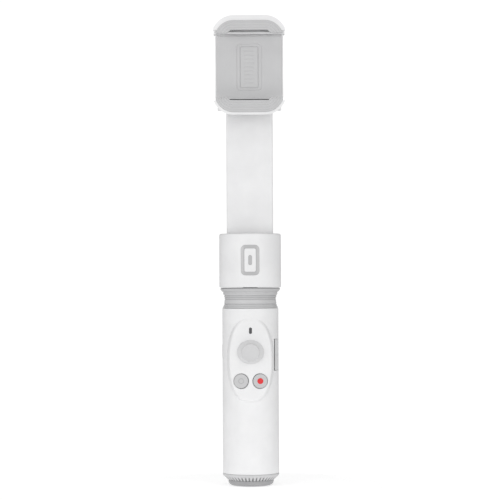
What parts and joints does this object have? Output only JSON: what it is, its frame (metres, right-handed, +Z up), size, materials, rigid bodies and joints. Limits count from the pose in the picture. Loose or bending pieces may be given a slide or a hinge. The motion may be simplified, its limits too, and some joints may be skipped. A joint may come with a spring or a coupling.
{
  "type": "phone gimbal stabilizer",
  "caption": "Handheld phone stabilizer: round grip with joystick and buttons, telescoping rod, motorized pan collar, folding arm and sprung phone clamp on a roll motor.",
  "frame": {"origin": "centre of the base's underside, on the tripod thread's axis", "axes": "+Z up the handle, -Y towards the controls and the phone's screen, +X to the right as seen from the front"},
  "size_m": [0.0422, 0.0432, 0.279],
  "materials": {
    "white_plastic": "satin",
    "grey_plastic": "satin",
    "dark_grey_plastic": "satin",
    "black_plastic": "matte",
    "grey_gloss": "gloss",
    "grey_rubber": "matte",
    "red_plastic": "gloss",
    "status_window": "gloss",
    "aluminium": "satin",
    "steel": "satin",
    "brass_insert": "satin",
    "copper_winding": "satin",
    "circuit_board": "satin",
    "battery_wrap": "satin",
    "cable_film": "gloss"
  },
  "bodies": {
    "handle": {"base_cap": "dark_grey_plastic", "base_ring": "grey_plastic", "tripod_insert": "brass_insert", "base_screws": "steel", "handle_tube": "white_plastic", "control_panel": "white_plastic", "led_window": "status_window", "handle_top_cap": "grey_plastic", "rod_outer_tube": "aluminium", "battery_pack": "battery_wrap", "main_board": "circuit_board", "key_switches": "black_plastic", "joystick_base": "black_plastic", "usb_socket": "steel", "rocker_pivot": "steel"},
    "zoom_rocker": {"zoom_rocker": "grey_plastic"},
    "power_button": {"power_button": "grey_plastic"},
    "mode_button": {"mode_button": "grey_rubber", "mode_symbol": "dark_grey_plastic"},
    "record_button": {"record_button": "grey_rubber", "record_dot": "red_plastic"},
    "joystick_yoke": {"joystick_yoke": "steel"},
    "joystick_stick": {"joystick_stem": "black_plastic", "joystick_skirt": "grey_rubber", "joystick_cap": "grey_rubber"},
    "rod_stage_1": {"rod_stage_1": "aluminium"},
    "rod_stage_2": {"rod_stage_2": "aluminium"},
    "rod_stage_3": {"rod_stage_3": "aluminium"},
    "neck": {"rod_stage_4": "aluminium", "neck_core": "black_plastic", "neck_sleeve": "grey_rubber", "pan_coils": "copper_winding", "pan_bearing": "steel"},
    "collar": {"collar_shell": "white_plastic", "collar_emblem": "grey_gloss", "collar_board": "circuit_board", "pan_rotor": "steel", "pan_shaft": "steel", "hinge_bracket": "aluminium", "hinge_pin": "steel"},
    "arm": {"arm_front_shell": "white_plastic", "arm_back_shell": "white_plastic", "arm_spine": "aluminium", "arm_flat_cable": "cable_film", "arm_screws": "steel", "roll_housing": "white_plastic", "roll_coils": "copper_winding", "roll_bearing": "steel"},
    "clamp": {"roll_rotor": "steel", "roll_shaft": "steel", "clamp_body": "white_plastic", "clamp_cover": "white_plastic", "clamp_pad": "grey_rubber", "pad_foot": "black_plastic", "lower_lip_pad": "grey_rubber", "jaw_springs": "steel"},
    "upper_jaw": {"upper_jaw": "white_plastic", "upper_lip_pad": "grey_rubber", "guide_rods": "steel"}
  },
  "joints": [
    {"name": "rod_slide_1", "type": "slide", "parent": "handle", "child": "rod_stage_1", "axis": [0, 0, 1], "range_m": [0, 0.065]},
    {"name": "rod_slide_2", "type": "slide", "parent": "rod_stage_1", "child": "rod_stage_2", "axis": [0, 0, 1], "range_m": [0, 0.065]},
    {"name": "rod_slide_3", "type": "slide", "parent": "rod_stage_2", "child": "rod_stage_3", "axis": [0, 0, 1], "range_m": [0, 0.065]},
    {"name": "rod_slide_4", "type": "slide", "parent": "rod_stage_3", "child": "neck", "axis": [0, 0, 1], "range_m": [0, 0.065]},
    {"name": "pan", "type": "hinge", "parent": "neck", "child": "collar", "pos_m": [0, 0, 0.1185], "axis": [0, 0, 1], "range_deg": [-160, 160]},
    {"name": "arm_fold", "type": "hinge", "parent": "collar", "child": "arm", "pos_m": [0, 0.01525, 0.142], "axis": [-1, 0, 0], "range_deg": [0, 180]},
    {"name": "roll", "type": "hinge", "parent": "arm", "child": "clamp", "pos_m": [0, 0, 0.25], "axis": [0, 1, 0], "range_deg": [-155, 155]},
    {"name": "jaw_slide", "type": "slide", "parent": "clamp", "child": "upper_jaw", "axis": [0, 0, 1], "range_m": [0, 0.038], "stiffness_N_per_m": 120, "springref_m": -0.015, "deforming": ["jaw_springs"]},
    {"name": "joystick_up_down", "type": "hinge", "parent": "handle", "child": "joystick_yoke", "pos_m": [0, -0.0094, 0.08], "axis": [1, 0, 0], "range_deg": [-12, 12], "stiffness_Nm_per_rad": 0.02},
    {"name": "joystick_left_right", "type": "hinge", "parent": "joystick_yoke", "child": "joystick_stick", "pos_m": [0, -0.0094, 0.08], "axis": [0, 0, 1], "range_deg": [-12, 12], "stiffness_Nm_per_rad": 0.02},
    {"name": "mode_press", "type": "slide", "parent": "handle", "child": "mode_button", "axis": [0, 1, 0], "range_m": [0, 0.0008], "stiffness_N_per_m": 800, "springref_m": -0.0005},
    {"name": "record_press", "type": "slide", "parent": "handle", "child": "record_button", "axis": [0, 1, 0], "range_m": [0, 0.0008], "stiffness_N_per_m": 800, "springref_m": -0.0005},
    {"name": "power_press", "type": "slide", "parent": "handle", "child": "power_button", "axis": [0.9781, -0.2079, 0], "range_m": [0, 0.0006], "stiffness_N_per_m": 800, "springref_m": -0.0005},
    {"name": "zoom_rock", "type": "hinge", "parent": "handle", "child": "zoom_rocker", "pos_m": [0.01306, -0.00475, 0.0782], "axis": [0.342, 0.9397, 0], "range_deg": [-2.5, 2.5], "stiffness_Nm_per_rad": 0.05}
  ]
}
